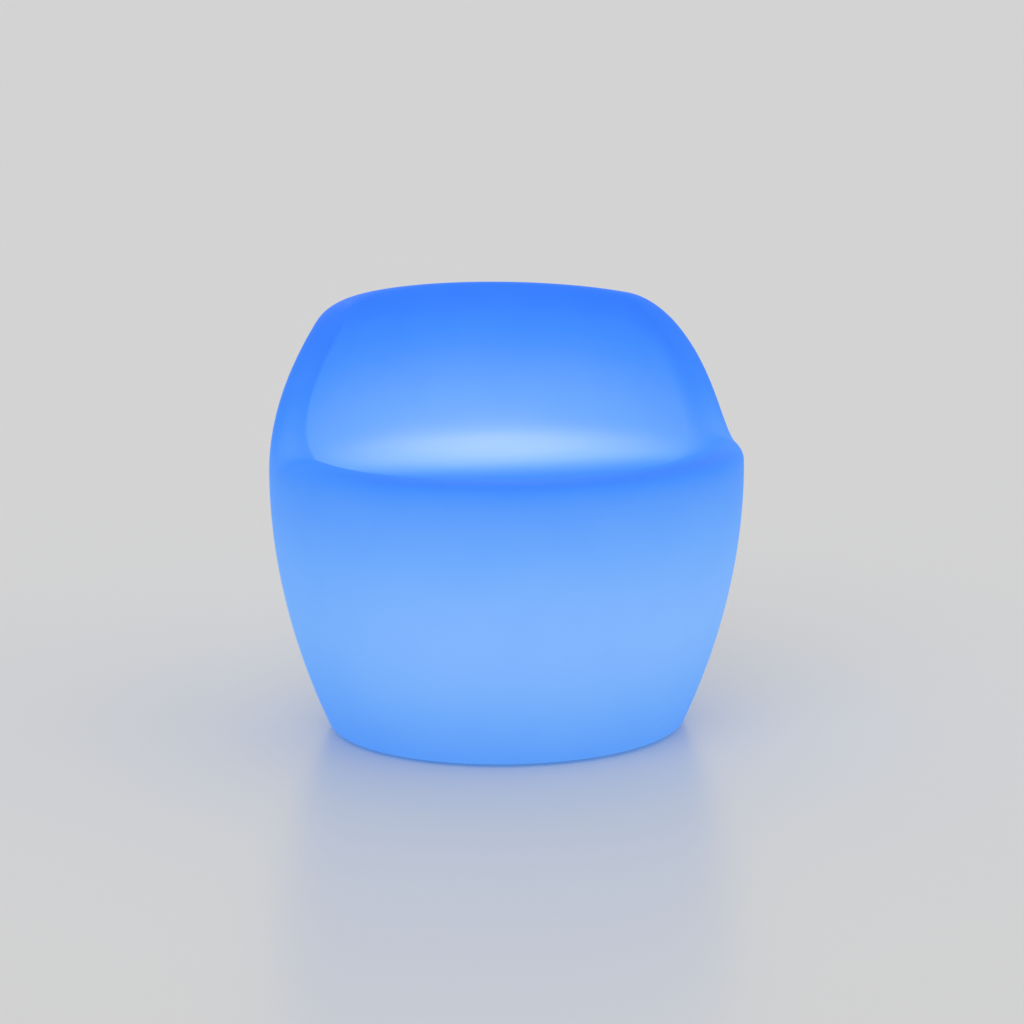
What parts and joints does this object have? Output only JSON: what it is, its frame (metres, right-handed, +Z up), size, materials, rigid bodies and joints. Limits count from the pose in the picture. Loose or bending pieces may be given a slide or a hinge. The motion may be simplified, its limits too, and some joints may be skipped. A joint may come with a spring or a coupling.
{
  "type": "light-up stool",
  "caption": "Barrel-shaped translucent tub stool with a low wrap-around back, lit from inside by a sealed battery lamp unit screwed into its underside.",
  "frame": {"origin": "on the floor plane, under the middle of the bounding box", "axes": "+Z up, -Y the front of the seat, +X the sitter's left, along the greatest width"},
  "size_m": [0.5388, 0.49, 0.48],
  "materials": {
    "glow_polyethylene": "satin translucent rotationally moulded skin, lit from inside",
    "rubber_foot": "matt moulded rubber",
    "steel_screw": "plain zinc-plated steel",
    "brass_insert": "turned brass",
    "tray_plastic": "fine moulded satin",
    "silicone_seal": "matt silicone",
    "dark_plastic": "fine moulded satin",
    "cell_wrap": "shrunk film",
    "board_laminate": "varnished laminate",
    "white_laminate": "white varnish",
    "aluminium_plate": "rolled sheet",
    "led_resin": "clear resin",
    "frosted_diffuser": "frosted",
    "clear_plastic": "polished",
    "dark_rubber": "matt moulded rubber",
    "lead_sheath": "smooth sheath"
  },
  "bodies": {
    "stool": {"shell": "glow_polyethylene", "foot_1": "rubber_foot", "foot_2": "rubber_foot", "foot_3": "rubber_foot", "foot_4": "rubber_foot", "foot_screw_1": "steel_screw", "foot_screw_2": "steel_screw", "foot_screw_3": "steel_screw", "foot_screw_4": "steel_screw", "tray_screw_1": "steel_screw", "tray_screw_2": "steel_screw", "tray_screw_3": "steel_screw", "tray_screw_4": "steel_screw", "tray_screw_5": "steel_screw", "tray_screw_6": "steel_screw", "spreader_screw_1": "steel_screw", "spreader_screw_2": "steel_screw", "spreader_screw_3": "steel_screw", "board_screw_1": "steel_screw", "board_screw_2": "steel_screw", "battery_strap": "steel_screw", "jack_nut": "steel_screw", "cover_pivot": "steel_screw", "threaded_insert_1": "brass_insert", "threaded_insert_2": "brass_insert", "threaded_insert_3": "brass_insert", "threaded_insert_4": "brass_insert", "threaded_insert_5": "brass_insert", "threaded_insert_6": "brass_insert", "lamp_tray": "tray_plastic", "tray_gasket": "silicone_seal", "dome_seal": "silicone_seal", "battery_cradle": "dark_plastic", "charge_jack": "dark_plastic", "power_switch": "dark_plastic", "controller_chip": "dark_plastic", "choke": "dark_plastic", "battery_cell_1": "cell_wrap", "battery_cell_2": "cell_wrap", "battery_cell_3": "cell_wrap", "control_board": "board_laminate", "led_board": "white_laminate", "remote_receiver": "white_laminate", "heat_spreader": "aluminium_plate", "led_1": "led_resin", "led_2": "led_resin", "led_3": "led_resin", "led_4": "led_resin", "led_5": "led_resin", "led_6": "led_resin", "led_7": "led_resin", "dome": "frosted_diffuser", "status_lens": "clear_plastic", "button_collar": "dark_rubber", "battery_lead": "lead_sheath", "led_lead": "lead_sheath"},
    "power_button": {"power_button": "dark_plastic", "switch_plunger": "clear_plastic"},
    "jack_cover": {"jack_cover": "dark_rubber"}
  },
  "joints": [
    {"name": "power_button_press", "type": "slide", "parent": "stool", "child": "power_button", "axis": [0, 0, 1], "range_m": [0, 0.0015], "stiffness_N_per_m": 500},
    {"name": "jack_cover_swing", "type": "hinge", "parent": "stool", "child": "jack_cover", "pos_m": [0.04325, -0.01363, 0.0088], "axis": [0, 0, 1], "range_deg": [0, 100]}
  ]
}
